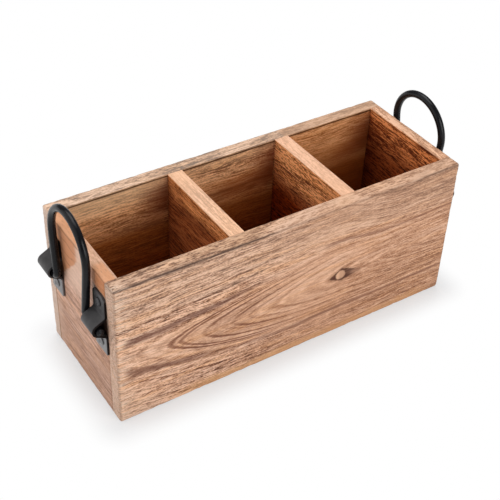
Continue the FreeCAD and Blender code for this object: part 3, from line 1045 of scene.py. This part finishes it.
def strap(width, top, bottom, standoff, screw_heights):
    """The wall side of a strap: X out from the wall, Y across, Z up from the middle of its loop."""
    turn = math.pi / 2 - LOOP_SLOPE
    bend = bend_rise(standoff)
    bend_end = Vector((STRAP_BEND * (1 - math.cos(turn)), 0, bend - STRAP_BEND * math.sin(turn)))
    loop_start = Vector((standoff + LOOP_RADIUS * math.cos(turn), 0, LOOP_RADIUS * math.sin(turn)))
    slope = loop_start - bend_end
    y_axis = (0, 1, 0)
    shape = bmesh.new()
    head = [shape.verts.new((0, across * width / 2, top)) for across in (-1, 1)]
    edges = run_on(shape, [shape.edges.new(head)], Vector((0, 0, bend - top)), 1)
    edges = turn_on(shape, edges, (STRAP_BEND, 0, bend), y_axis, -turn, 8)
    edges = run_on(shape, edges, slope, 1)
    edges = turn_on(shape, edges, (standoff, 0, 0), y_axis, 2 * turn, 20)
    edges = run_on(shape, edges, Vector((-slope.x, 0, slope.z)), 1)
    edges = turn_on(shape, edges, (STRAP_BEND, 0, -bend), y_axis, -turn, 8)
    edges = run_on(shape, edges, Vector((0, 0, bottom + bend)), 1)
    foot = edges[0].verts[:]
    for corners, radius in ((head, STRAP_TOP_CORNER), (foot, STRAP_FOOT_CORNER)):
        round_off(shape, corners, radius, 6, "VERTICES")
    for height in screw_heights:
        drill(shape, height)
    bmesh.ops.recalc_face_normals(shape, faces=shape.faces)
    if sum(face.normal.x * face.calc_area() for face in shape.faces) < 0:
        bmesh.ops.reverse_faces(shape, faces=shape.faces)
    return shape


def drill(shape, height):
    """Replace the flat plate at this height with one that has a round hole in its middle."""
    plate = min(shape.faces, key=lambda face: abs(face.calc_center_bounds().z - height))
    border = plate.edges[:]
    bmesh.ops.delete(shape, geom=[plate], context="FACES_ONLY")
    place = Matrix.Translation((0, 0, height)) @ Matrix.Rotation(math.pi / 2, 4, "Y")
    hole = bmesh.ops.create_circle(shape, segments=24, radius=SCREW_HOLE, matrix=place)["verts"]
    circle = {edge for vert in hole for edge in vert.link_edges}
    bmesh.ops.triangle_fill(shape, use_beauty=True, edges=border + list(circle), normal=(1, 0, 0))


def on_end_panel(side, across, height):
    """Where a fitting's own space sits on an end panel: its X points out of the box."""
    face_turn = Matrix.Rotation(0 if side > 0 else math.pi, 4, "Z")
    return Matrix.Translation((side * WOOD_HIGH.x * MM, across, height)) @ face_turn


def screw_heights(low, high, standoff):
    """Heights of a bracket's two screws above its loop: the middles of its two flat plates."""
    return (high + bend_rise(standoff)) / 2, (low - bend_rise(standoff)) / 2


def thicken(piece):
    """Give a strap its thickness, away from the wall, and soft edges."""
    wall = piece.modifiers.new("thickness", "SOLIDIFY")
    wall.thickness = STRAP_THICKNESS - TOUCH
    wall.offset = 1
    wall.use_even_offset = True
    soft = piece.modifiers.new("soft_edges", "BEVEL")
    soft.width = STRAP_EDGE_SOFT
    soft.segments = 2
    soft.limit_method = "ANGLE"
    soft.angle_limit = math.radians(50)


fittings = []
for end_name, side, hinge, _ in handle_ends():
    standoff = abs(hinge.x) - WOOD_HIGH.x * MM
    loop_height = hinge.z + LOOP_ABOVE_HINGE
    for corner in ("front", "back"):
        name = f"{end_name}_{corner}"
        node = name + "_bracket"
        low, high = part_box(node)
        bottom, top = low.z - loop_height, high.z - loop_height
        heights = screw_heights(bottom, top, standoff)
        seat = on_end_panel(side, (low.y + high.y) / 2, loop_height)
        fittings.append((name, node, seat, heights))
        shape = strap(high.y - low.y, top, bottom, standoff, heights)
        bmesh.ops.transform(shape, matrix=seat, verts=shape.verts)
        thicken(place_piece(shape, name + "_strap", "box", "bracket_iron", bracket_iron, node))
print("straps", len(fittings))

# %% [markdown]
# ## Screws
# Two round head screws hold each strap. A screw is a turned part, so its half outline is spun once round,
# and the part of the head inside a cross is pushed down for the driver.

# %% Screws
HEAD_RADIUS = 3.5 * MM
HEAD_HEIGHT = 1.8 * MM
HEAD_RIM = 0.6 * MM
SHANK_RADIUS = 1.75 * MM
SCREW_IN_WOOD = 7.0 * MM
SCREW_POINT = 2.2 * MM
RECESS_WIDTH = 0.9 * MM
RECESS_LENGTH = 3.8 * MM
RECESS_DEPTH = 0.9 * MM
FINE_TOUCH = 0.0001 * MM


def in_cross(face):
    """True for a face of the head's crown that lies in the cross for the driver."""
    centre = face.calc_center_median()
    small, large = sorted((abs(centre.y), abs(centre.z)))
    return centre.x > HEAD_RIM and small < RECESS_WIDTH / 2 and large < RECESS_LENGTH / 2


def sink_cross(shape):
    """Slice the head along the sides of the cross, and push the faces inside it down to a flat floor."""
    for normal in (Vector((0, 1, 0)), Vector((0, 0, 1))):
        for level in (-RECESS_LENGTH, -RECESS_WIDTH, RECESS_WIDTH, RECESS_LENGTH):
            cut(shape, normal * level / 2, normal, FINE_TOUCH)
    cross = [face for face in shape.faces if in_cross(face)]
    sunk = bmesh.ops.extrude_face_region(shape, geom=cross)["geom"]
    bmesh.ops.delete(shape, geom=[face for face in cross if face.is_valid], context="FACES")
    for vert in (item for item in sunk if isinstance(item, bmesh.types.BMVert)):
        vert.co.x = HEAD_HEIGHT - RECESS_DEPTH


def turned_screw():
    """A screw in its own space: X along its axis, 0 at the seat of the head."""
    drop = HEAD_HEIGHT - HEAD_RIM
    crown = (HEAD_RADIUS**2 + drop**2) / (2 * drop)
    half_angle = math.asin(HEAD_RADIUS / crown)
    steps = 7
    arc = [(HEAD_HEIGHT - crown * (1 - math.cos(half_angle * step / steps)),
            crown * math.sin(half_angle * step / steps)) for step in range(steps + 1)]
    length = STRAP_THICKNESS + SCREW_IN_WOOD
    outline = arc + [(0, HEAD_RADIUS), (0, SHANK_RADIUS), (SCREW_POINT - length, SHANK_RADIUS), (-length, 0)]
    shape = bmesh.new()
    verts = [shape.verts.new((along, 0, radius)) for along, radius in outline]
    edges = [shape.edges.new(pair) for pair in zip(verts, verts[1:])]
    bmesh.ops.spin(shape, geom=verts + edges, cent=(0, 0, 0), axis=(1, 0, 0), angle=2 * math.pi, steps=32,
                   use_merge=True)
    bmesh.ops.remove_doubles(shape, verts=shape.verts, dist=TOUCH)
    sink_cross(shape)
    bmesh.ops.recalc_face_normals(shape, faces=shape.faces)
    return shape


for name, node, seat, heights in fittings:
    pair = bmesh.new()
    for height in heights:
        shape = turned_screw()
        lift = Matrix.Translation((STRAP_THICKNESS, 0, height))
        bmesh.ops.transform(shape, matrix=seat @ lift, verts=shape.verts)
        holder = bpy.data.meshes.new("screw")
        shape.to_mesh(holder)
        shape.free()
        pair.from_mesh(holder)
        bpy.data.meshes.remove(holder)
    place_piece(pair, name + "_screws", "box", "screw_steel", screw_steel, node + "_screws")
print("screws", 2 * len(fittings))
